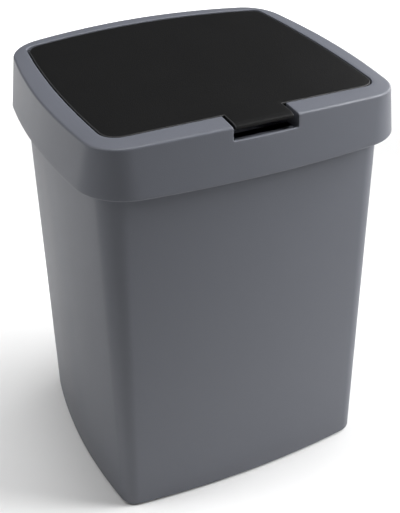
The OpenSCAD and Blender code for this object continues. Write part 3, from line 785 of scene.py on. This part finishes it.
def turned(name, profile, place=lambda x, y, z: (x, y, z), sides=64):
    """A profile of (radius, height) points turned about an axis; place sets each point."""
    bm = bmesh.new()
    rings = [[bm.verts.new(place(r * math.cos(2 * math.pi * i / sides),
                                 r * math.sin(2 * math.pi * i / sides), h))
              for i in range(sides if r else 1)] for r, h in profile]
    for low, high in zip(rings, rings[1:]):
        for i in range(sides):
            k = (i + 1) % sides
            face = [low[i % len(low)], low[k % len(low)], high[k % len(high)], high[i % len(high)]]
            bm.faces.new(dict.fromkeys(face))
    return from_bmesh(name, bm)


def cut(thing, cutter, operation="DIFFERENCE"):
    """Cuts one closed mesh with another, or joins them where they meet."""
    modifier = thing.modifiers.new("cut", "BOOLEAN")
    modifier.operation = operation
    modifier.solver = "EXACT"
    modifier.object = cutter
    settle(thing)
    discard(cutter)


def ease(thing, low, high, width):
    """Rounds the sharp edges that a cut has left inside a box."""
    spare, crumb = 0.05 * MM, 0.01 * MM
    with edited(thing.data) as bm:
        bmesh.ops.dissolve_degenerate(bm, dist=crumb, edges=bm.edges)
        sharp = [edge for edge in bm.edges
                 if len(edge.link_faces) == 2 and edge.calc_face_angle() > CREASE
                 and all(a - spare < c < b + spare for vert in edge.verts
                         for a, c, b in zip(low, vert.co, high))]
        bmesh.ops.bevel(bm, geom=sharp, offset=width, offset_type="OFFSET", segments=3,
                        profile=0.5, affect="EDGES", clamp_overlap=True)


def paint_edge_highlight(mesh):
    """Marks the faces of tightly rounded outer edges for a painted highlight: the tighter the
    rounding, the paler the edge is painted, in place of the light it catches.
    """
    flat, corner, lightly, fully = 0.02, 0.7, 0.6 / MM, 1 / MM
    with edited(mesh) as bm:
        layer = bm.faces.layers.float.new("edge_wear")
        area = {face: face.calc_area() for face in bm.faces}
        for edge in bm.edges:
            angle = edge.calc_face_angle_signed(0)
            if len(edge.link_faces) != 2 or not flat < angle < corner:
                continue
            faces = edge.link_faces
            bend = angle * 2 * edge.calc_length() / max(sum(area[f] for f in faces), SPECK ** 2)
            painted_highlight = min(1.0, max(0.0, (bend - lightly) / (fully - lightly)))
            for face in faces:
                face[layer] = max(face[layer], painted_highlight)


def joined(name, *parts):
    """Several meshes as one object."""
    bm = bmesh.new()
    for part in parts:
        bm.from_mesh(part.data)
    discard(*parts)
    return from_bmesh(name, bm, outward=False)


def fitted(thing, body, slot, *nodes):
    """Gives a finished piece its shading, the finish of its slot and its body, and hides the nodes
    that it stands for.
    """
    mesh = thing.data
    mesh.materials.clear()
    mesh.materials.append(finish(slot))
    # Painted edge highlight on the tightly rounded edges
    paint_edge_highlight(mesh)
    mesh.shade_smooth()
    mesh.set_sharp_from_angle(angle=SHARP)
    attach(thing, body)
    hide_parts(*nodes)


def mirrored(thing):
    """A mesh and its mirror image across the middle, with the image's faces turned back."""
    mesh = thing.data.copy()
    mesh.transform(Matrix.Scale(-1, 4, (1, 0, 0)))
    mesh.flip_normals()
    return thing, linked(thing.name + "_left", mesh)


def repaint(slot, *nodes):
    """Gives carried-over solids their finish."""
    for node in nodes:
        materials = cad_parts[node].data.materials
        materials.clear()
        materials.append(finish(slot))


# Pieces

class MakeTub(bpy.types.Operator):
    """Make the tapered, bowed tub with its turned rim and the pads under it"""

    bl_idname = "bin.make_tub"
    bl_label = "Tub and pads"

    def execute(self, context):
        plan = Plan()
        s, base_z, rim_z = plan.tub, plan.tub.proud, plan.rim_z

        def wall(z, grow=0.0, shrink=0.0):
            return at(grow, z, shrink=shrink, foot=1 - (z - base_z) / (rim_z - base_z))

        outer_r, inner_r, floor_r = 0.8 * MM, 0.5 * MM, 3 * MM
        inside, lip, rows = base_z + s.floor, rim_z - RIM_LIP, 12
        section = [wall(base_z, -s.round, shrink) for shrink in (1, 0.66, 0.33)]
        section += [wall(base_z + s.round * u, -s.round * v) for u, v in fillet(5)]
        section += [wall(base_z + (rim_z - s.wall - base_z) * i / rows) for i in range(1, rows)]
        section += [wall(rim_z - s.wall), wall(rim_z - s.wall, s.rim - s.wall),
                    wall(lip, s.rim - s.wall), wall(lip, s.rim)]
        section += [wall(rim_z - outer_r * v, s.rim - outer_r * u) for u, v in fillet(3)]
        section += [wall(rim_z - inner_r * u, -s.wall + inner_r * v) for u, v in fillet(3)]
        section += [wall(rim_z - (rim_z - inside) * i / rows, -s.wall) for i in range(1, rows)]
        section += [wall(inside + floor_r * v, -s.wall - floor_r * u) for u, v in fillet(4)]
        section += [wall(inside, -s.wall - floor_r, shrink) for shrink in (0.33, 0.66, 1)]
        tub = shell("tub_wall", plan, "grey_plastic", section, plan.mouth, foot=plan.base,
                    closed=False, middle=s.shift)
        r, top = s.pad / 2, s.proud + 1 * MM
        spread = dict(Columns=2, Rows=2, Step_X=2 * (s.base_w / 2 - s.bow_x - PAD_MARGIN),
                      Step_Y=2 * (s.base_d / 2 - s.bow_y - PAD_MARGIN), Middle_Y=s.shift)
        socket_r, edge_r = r + 0.1 * MM, 0.6 * MM
        socket = turned("pad_socket", [(0, -MM), (socket_r, -MM), (socket_r, top), (0, top)])
        cut(tub, rows_tool().run("pad_sockets", socket.data, "grey_plastic", **spread))
        fitted(tub, "bin", "grey_plastic", "tub")
        ridges = [(r * k + out, up) for k in (0.34, 0.62)
                  for out, up in ((-0.7 * MM, 0), (-0.3 * MM, 0.35 * MM), (0.3 * MM, 0.35 * MM),
                                  (0.7 * MM, 0))]
        profile = [(0, 0), *ridges, *((r - edge_r * v, edge_r * u) for u, v in fillet(4)),
                   (r, top), (0, top)]
        pads = rows_tool().run("pads", turned("pad", profile).data, "rubber", **spread)
        fitted(pads, "bin", "rubber", "pad_front_left", "pad_front_right", "pad_rear_left",
               "pad_rear_right")
        return {"FINISHED"}


class MakeLidFrame(bpy.types.Operator):
    """Make the lid frame with its skirt, opening, notch, seat, tongue and hinge ears"""

    bl_idname = "bin.make_lid_frame"
    bl_label = "Lid frame"

    def execute(self, context):
        plan, grey = Plan(), "grey_plastic"
        s, drop, web_z, web_top = plan.lid, plan.lid.border_drop, plan.web_z, plan.web_top
        notch_half = plan.flap.tab / 2 + plan.flap.tab_gap
        outer = self.outer(plan, grey)
        above = s.height + 20 * MM
        notch = rounded([(-notch_half, plan.notch_z), (notch_half, plan.notch_z),
                         (notch_half, above), (-notch_half, above)], 1.2 * MM, 5)
        cut(outer, prism("notch", notch, lambda a, b, y: (a, y, b),
                         (-s.depth, plan.open_front + plan.flap.gap)))
        ease(outer, (-notch_half, -s.depth, plan.notch_z),
             (notch_half, plan.open_front + 2 * MM, above), 0.45 * MM)
        seat_out, seat_in, hem = 2.2 * MM, -5 * MM, 0.3 * MM
        seat = shell("seat", plan, grey, [
            at(seat_out, web_z), at(seat_out, web_top), at(seat_in + hem, web_top, inner=1),
            at(seat_in, web_top - hem, inner=1), at(seat_in, web_z, inner=1)],
            plan.mouth, plan.opening)
        cut(seat, block("seat_gap", TONGUE_HALF, (plan.open_front, plan.open_front + 6 * MM),
                        (web_z - 1 * MM, plan.notch_z), 0.01 * MM))
        plug_low, plug_top = plan.rim_z - 6 * MM, web_z + 0.01 * MM
        plug_out, plug_in = -2.6 * MM, -4.6 * MM
        plug = shell("plug", plan, grey, [
            at(-3 * MM, plug_low), at(plug_out, plug_low + 0.8 * MM), at(plug_out, plug_top),
            at(plug_in, plug_top), at(plug_in, plug_low)], plan.mouth)
        front, back, side = 0.25 * s.wall - s.depth / 2, plan.open_front - s.wall, 2 * MM
        floor = block("pocket_floor", notch_half + side, (front, back + 1 * MM), (web_z, web_top),
                      0.05 * MM)
        tongue = block("tongue", TONGUE_HALF, (plan.open_front - TONGUE_THICK, plan.open_front),
                       (web_z - TONGUE_DEEP, web_top), 0.6 * MM)
        shelf = block("shelf", SHELF_HALF,
                      (plan.axis_y - SHELF_REACH, plan.open_rear + 0.5 * MM),
                      (web_z, web_top), 0.3 * MM)
        back, height = back + 0.5 * MM, plan.top(notch_half, front) - drop - 1.6 * MM
        walls = mirrored(prism(
            "pocket_wall", [(front, web_z), (back, web_z), (back, height), (front, height)],
            lambda a, b, x: (x, a, b), (notch_half, notch_half + side)))
        ear_r, ear_foot = plan.small.rod / 2 + 0.7 * MM, web_top - plan.axis_z - 0.5 * MM
        ear = half_circle(ear_r) + [(-ear_r - 0.3 * MM, ear_foot), (ear_r + 0.3 * MM, ear_foot)]
        ears = [half for x in EAR_PLACES for half in mirrored(
            prism("ear", ear, plan.on_axis, (x, x + EAR_WIDTH), 0.3 * MM))]
        body = joined("lid_frame_body", outer, seat, plug, floor, tongue, shelf, *walls, *ears)
        fitted(body, "lid", grey, "lid_frame")
        return {"FINISHED"}

    def outer(self, plan, slot):
        """The skirt, the border and the walls of the opening."""
        s, drop, skirt_z, web_z = plan.lid, plan.lid.border_drop, plan.skirt_z, plan.web_z
        foot_r, edge_r, lip_r, lip_drop = 0.6 * MM, s.edge_round, s.lip_round, 0.1 * MM
        lift = 0.15
        section = [at(-foot_r * v, skirt_z + foot_r * u, foot=1) for u, v in fillet(3)]
        section += [at(foot=1 - i / 10, on_top=i / 10, level=skirt_z, drop=drop + edge_r)
                    for i in range(1, 10)]
        section += [at(-edge_r * u, drop=drop * (1 - lift * u) + edge_r * v) for u, v in fillet(6)]
        section += [at(-edge_r * (1 - k) + lip_r * k, inner=k,
                       drop=drop * (1 - lift) * (1 - k) ** 1.3 + lip_drop * k)
                    for k in (i / 6 for i in range(1, 6))]
        section += [at(lip_r * v, inner=1, drop=lip_drop + lip_r * u) for u, v in fillet(4)]
        section += [at(0, web_z, inner=1), at(s.wall, web_z, inner=1),
                    at(s.wall, inner=1, drop=s.wall + 0.2 * MM),
                    at(-s.wall - 1 * MM, drop=drop + s.wall),
                    at(-s.wall, drop=drop + s.wall + 1 * MM), at(-s.wall, skirt_z, foot=1)]
        return shell("lid_shell", plan, slot, section, plan.edge, plan.opening, plan.skirt)


class MakeFlap(bpy.types.Operator):
    """Make the flap with its press tab, rim, ribs and knuckles"""

    bl_idname = "bin.make_flap"
    bl_label = "Flap and tab"

    def execute(self, context):
        plan, black = Plan(), "black_plastic"
        s, under, r = plan.flap, plan.under, plan.flap.edge_round
        section = [at(drop=under, shrink=k) for k in (1, 0.8, 0.6, 0.4, 0.2, 0.06)]
        section += [at(-0.4 * MM, drop=under), at(drop=under - 0.4 * MM)]
        section += [at(-r * u, drop=s.recess + r * v) for u, v in fillet(6)]
        section += [at(-r, drop=s.recess, shrink=k)
                    for k in (0.04, 0.12, 0.22, 0.34, 0.46, 0.58, 0.7, 0.82, 0.92, 1)]
        plate = shell("flap_plate", plan, black, section, plan.flap_edge, closed=False,
                      middle=plan.flap_y)
        cut(plate, self.tab(plan), "UNION")
        outside, inside, hem = -1.5 * MM, -3.1 * MM, 0.3 * MM
        low, high = under + s.rim, under - 0.6 * MM
        rim = shell("flap_rim", plan, black, [
            at(outside - hem, drop=low), at(outside, drop=low - hem), at(outside, drop=high),
            at(inside, drop=high), at(inside, drop=low - hem), at(inside + hem, drop=low)],
            plan.flap_edge)
        cut(rim, block("behind", 0.2, (plan.axis_y - 8 * MM, 0.2), (0.28, 0.34), 0.01 * MM))
        r = plan.small.rod / 2 + 1.5 * MM
        top = plan.top(KNUCKLE_ENDS[1], plan.axis_y) - under + 0.6 * MM - plan.axis_z
        knuckles = mirrored(prism("knuckle", half_circle(r, math.pi) + [(r, top), (-r, top)],
                                  plan.on_axis, KNUCKLE_ENDS, 0.3 * MM))
        fitted(joined("flap_body", plate, rim, *knuckles), "flap", black, "flap_panel")
        self.ribs(plan, black)
        return {"FINISHED"}

    def tab(self, plan):
        """The press tab: a tongue that runs on from the flap and ends in a bull nose."""
        s, crown = plan.flap, plan.lid.crown / (plan.lid.width / 2) ** 2
        tip, root = s.tab_tip / 2, plan.flap_front
        tip_y = s.setback - plan.lid.depth / 2 + tip
        tip_drop = s.recess + s.tab_fall + tip
        face = s.recess - 0.015 * MM
        upper = [(root + y * MM, face + fall * MM) for y, fall in (
            (4.2, 0.715), (4, 0), (1.2, 0), (-2, 0.03), (-6, 0.16))]
        upper += [(tip_y + y * MM, face + fall * MM) for y, fall in (
            (3.2, 0.38), (2.7, 0.42), (2.2, 0.50), (0.9, 0.80))]
        nose = [(tip_y - y, tip_drop - z) for z, y in half_circle(tip, count=14)]
        lower = [(tip_y + 3 * MM, tip_drop + tip + 0.02 * MM),
                 (root + 1 * MM, plan.under + 0.3 * MM), (root + 3 * MM, plan.under + 0.3 * MM)]
        outline = [(y, plan.top(0, y) - drop) for y, drop in upper + nose + lower]
        return prism("tab", outline, lambda a, b, x: (x, a, b - crown * x * x),
                     (-s.tab / 2, s.tab / 2), 0.5 * MM, 4, 12)

    def ribs(self, plan, slot):
        """Three ribs across the flap's underside and one along each side of them."""
        tall, thick, half, root = 3.5 * MM, 1.6 * MM, 40 * MM, 0.8 * MM
        draft = rounded([(-thick / 2, root), (-thick * 0.36, -tall), (thick * 0.36, -tall),
                         (thick / 2, root)], 0.25 * MM, 2)
        across = prism("rib", draft, lambda a, b, x: (x, a, b), (-half, half), 0.2 * MM)
        along = prism("rib", draft, lambda a, b, y: (a, y, b),
                      (plan.flap_front + 3 * MM, plan.axis_y - 9 * MM), 0.2 * MM)
        run = rows_tool().run
        ribs = joined("flap_ribs", run("cross_ribs", across.data, slot, Columns=1, Rows=3,
                                       Step_Y=plan.flap_b / 2),
                      run("side_ribs", along.data, slot, Columns=2, Rows=1, Step_X=2 * half))
        ribs.data.transform(Matrix.Translation((0, 0, plan.lid.height - plan.under))
                            @ Matrix.Rotation(math.atan(plan.slope), 4, "X"))
        fitted(ribs, "flap", slot, "flap_panel")


class MakeHinge(bpy.types.Operator):
    """Make the two wire springs on the hinge rod and finish the rod and its clips"""

    bl_idname = "bin.make_hinge"
    bl_label = "Hinge"

    def execute(self, context):
        plan = Plan()
        s, bend, reach = plan.small, 1 * MM, 22 * MM
        r = s.rod / 2 + 0.3 * MM + s.flap_wire / 2
        x0, x1 = FLAP_COIL_ENDS
        sweep = 2 * math.pi * (s.flap_turns + 0.25)
        count = s.flap_turns * 28
        foot = plan.web_top + s.flap_wire / 2 + 0.15 * MM - plan.axis_z
        path = [(x0, s.setback - 0.3 * MM, foot)]
        path += [(x0, r + bend * v, foot + bend * u) for u, v in fillet(5)]
        path += [(x0 + (x1 - x0) * i / count, r * math.cos(sweep * i / count),
                  r * math.sin(sweep * i / count)) for i in range(count + 1)]
        path += [(x1, -reach * k, r - bend * k) for k in (0.25, 0.5, 0.75, 1)]
        for side, node in ((1, "flap_spring_right"), (-1, "flap_spring_left")):
            line = chain_mesh(node, [plan.on_axis(y, z, side * x) for x, y, z in path], False)
            spring = wire_tool().run(node + "_wire", line, "steel", Wire=s.flap_wire)
            fitted(spring, "lid", "steel", node)
        repaint("steel", "hinge_rod", "rod_clip_left", "rod_clip_right")
        return {"FINISHED"}


class MakeLatch(bpy.types.Operator):
    """Make the latch spring, follower and screws, and finish the other latch pieces"""

    bl_idname = "bin.make_latch"
    bl_label = "Latch"

    def execute(self, context):
        plan = Plan()
        s, wire = plan.small, plan.small.latch_wire
        low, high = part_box("latch_spring")
        coil = coil_tool().run(
            "latch_coil", chain_mesh("latch_coil", [(0, 0, 0), (0, 0, MM)], False), "steel",
            Turns=float(s.latch_turns), Radius=(high.x - low.x) / 2 - wire / 2,
            Tall=high.z - low.z - wire * 1.02, Wire=wire, Foot_Y=(low.y + high.y) / 2,
            Foot_Z=low.z + wire * 0.51)
        fitted(coil, "lid", "steel", "latch_spring")
        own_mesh(coil)
        low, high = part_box("latch_follower")
        d, bow = 1 * MM, 0.7 * MM
        x, y = (low.x + high.x) / 2, plan.latch_y + 5.8 * MM
        z0, z1 = low.z + d / 2, high.z - d / 2
        path = [(x, high.y, z0)]
        path += [(x, y + bow * v, z0 + bow * u) for u, v in fillet(5)]
        path += [(x, y - bow * u, z1 - bow * v) for u, v in fillet(5)]
        path += [(x, low.y, z1)]
        line = chain_mesh("follower", path, False)
        fitted(wire_tool().run("follower_wire", line, "steel", Wire=d), "lid", "steel",
               "latch_follower")
        self.screws(plan)
        repaint("latch_plastic", "latch_housing", "latch_cover", "latch_plunger", "striker")
        repaint("rubber", "bumper_left", "bumper_right")
        return {"FINISHED"}

    def screws(self, plan):
        """Two pan-head screws with a cross recess."""
        low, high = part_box("latch_screw_right")
        x, z = (low.x + high.x) / 2, (low.z + high.z) / 2
        r, seat = (high.x - low.x) / 2, plan.open_front + 3 * MM
        tall, deep, pitch = high.y - seat, seat - low.y, 0.9 * MM
        profile = [(0, tall), (r * 0.55, tall), (r * 0.86, tall * 0.72), (r, tall * 0.25), (r, 0),
                   (r / 2, 0)]
        for i in range(int(deep / pitch)):
            profile += [(r / 2, -i * pitch), (r * 0.38, -(i + 0.5) * pitch)]
        profile += [(r / 2 * 0.7, -deep), (0, -deep)]
        screw = turned("screw", profile, lambda a, b, h: (a, seat + h, b), 32)
        wide, narrow, floor = 1.5 * MM, 0.35 * MM, 0.5 * MM
        for turn in (0, math.pi / 2):
            slot = block("recess", wide, (-narrow, narrow), (-floor, 3 * MM), 0.05 * MM)
            slot.data.transform(Matrix.Translation((0, high.y - 0.9 * MM + floor, 0))
                                @ Matrix.Rotation(turn, 4, "Y")
                                @ Matrix.Rotation(-math.pi / 2, 4, "X"))
            cut(screw, slot)
        screws = rows_tool().run("latch_screws", screw.data, "steel", Columns=2, Rows=1,
                                 Step_X=2 * x, Level=z)
        fitted(screws, "lid", "steel", "latch_screw_left", "latch_screw_right")


# Studio

# Of each lamp: name, size, watts, place, target and the spread of its beam in degrees
LAMPS = (
    ("right back", (1.0, 0.9), 9.3, (1.4, 0.5, 0.5), (0, 0, 0.2), 180),
    ("upper right", (0.8, 0.8), 2.6, (1.1, -0.3, 1.35), (0, 0, 0.2), 55),
    ("right front", (0.6, 0.6), 2.7, (1.2, -0.7, 0.9), (0, 0, 0.25), 60),
    ("upper left", (0.7, 0.7), 1.15, (-1.3, 0.5, 1.3), (0, 0, 0.2), 60),
    ("left", (0.7, 0.7), 1.0, (-0.9, 0.2, 1.4), (-0.7, 0.2, 0), 60),
    ("overhead", (0.7, 0.7), 1.9, (0, 0.1, 1.9), (0, 0.1, 0), 50),
    ("backdrop", (3.6, 1.2), 20, (0.2, 1.5, 1.5), (0.2, 1.5, 0), 70),
)
FLOOR_HALF = 30
SENSOR = 36


class MakeStudio(bpy.types.Operator):
    """Make the pale floor, the soft lights and the camera"""

    bl_idname = "bin.make_studio"
    bl_label = "Studio"

    def execute(self, context):
        s = settings("bin_studio")
        self.floor(s)
        self.world(s)
        self.lamps(s)
        self.camera(s)
        return {"FINISHED"}

    def floor(self, s):
        """One large sheet."""
        mesh = bpy.data.meshes.new("floor")
        corners = [(x * FLOOR_HALF, y * FLOOR_HALF, 0)
                   for x, y in ((-1, -1), (1, -1), (1, 1), (-1, 1))]
        mesh.from_pydata(corners, [], [(0, 1, 2, 3)])
        mesh.materials.append(floor_paper("floor_paper", s.floor, s.glow))
        linked("floor", mesh)

    def world(self, s):
        """Dark surroundings that look as pale as the floor to the camera."""
        world = bpy.data.worlds.new("studio")
        world.use_nodes = True
        graph = Graph(world.node_tree)
        seen = graph.value("LightPath", {}, "Is Camera Ray")
        graph.feed(world.node_tree.nodes["Background"], {
            0: (1, 1, 1, 1), 1: graph.value("Mix", {0: seen, 2: 0.01, 3: s.glow})})
        bpy.context.scene.world = world
        bpy.context.scene.view_settings.view_transform = "Standard"

    def lamps(self, s):
        """Soft rectangular lights, each turned to a point."""
        for name, size, watts, place, target, spread in LAMPS:
            data = bpy.data.lights.new(name, "AREA")
            data.shape = "RECTANGLE"
            data.size, data.size_y = size
            data.energy = watts * s.light
            data.spread = math.radians(spread)
            thing = linked(name, data)
            thing.location = place
            aim = Vector(target) - Vector(place)
            thing.rotation_euler = aim.to_track_quat("-Z", "Y").to_euler()

    def camera(self, s):
        """The camera, turned about its view by the roll."""
        data = bpy.data.cameras.new("camera")
        data.sensor_width = SENSOR
        data.lens = s.focal
        data.shift_x, data.shift_y = s.shift
        place = Vector(s.place)
        back = (place - Vector(s.target)).normalized()
        right = Vector((0, 0, 1)).cross(back).normalized()
        up = back.cross(right)
        level, lift = math.cos(s.roll), math.sin(s.roll)
        right, up = right * level + up * lift, up * level - right * lift
        camera = linked("camera", data)
        camera.matrix_world = (Matrix.Translation(place)
                               @ Matrix((right, up, back)).transposed().to_4x4())
        bpy.context.scene.camera = camera


OPERATORS = (MakeTub, MakeLidFrame, MakeFlap, MakeHinge, MakeLatch, MakeStudio)


class BinPanel(bpy.types.Panel):
    """The bin's operators and settings"""

    bl_idname = "VIEW3D_PT_bin"
    bl_label = "Push top bin"
    bl_space_type = "VIEW_3D"
    bl_region_type = "UI"
    bl_category = "Bin"

    def draw(self, context):
        layout = self.layout
        for operator in OPERATORS:
            layout.operator(operator.bl_idname)
        for name, group in GROUPS.items():
            box = layout.box()
            box.label(text=group.__doc__)
            for key in group.__annotations__:
                box.prop(getattr(context.scene, name), key)


def register():
    """Registers every class and hangs the settings on the scene."""
    for cls in (*GROUPS.values(), *OPERATORS, BinPanel):
        bpy.utils.register_class(cls)
    for name, group in GROUPS.items():
        setattr(bpy.types.Scene, name, bpy.props.PointerProperty(type=group))


def unregister():
    """Takes the settings and the classes away again."""
    for name in GROUPS:
        delattr(bpy.types.Scene, name)
    for cls in reversed((*GROUPS.values(), *OPERATORS, BinPanel)):
        bpy.utils.unregister_class(cls)


def main():
    """Makes everything in order."""
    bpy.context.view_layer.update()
    register()
    for operator in OPERATORS:
        group, name = operator.bl_idname.split(".")
        getattr(getattr(bpy.ops, group), name)()


if __name__ == "__main__":
    main()
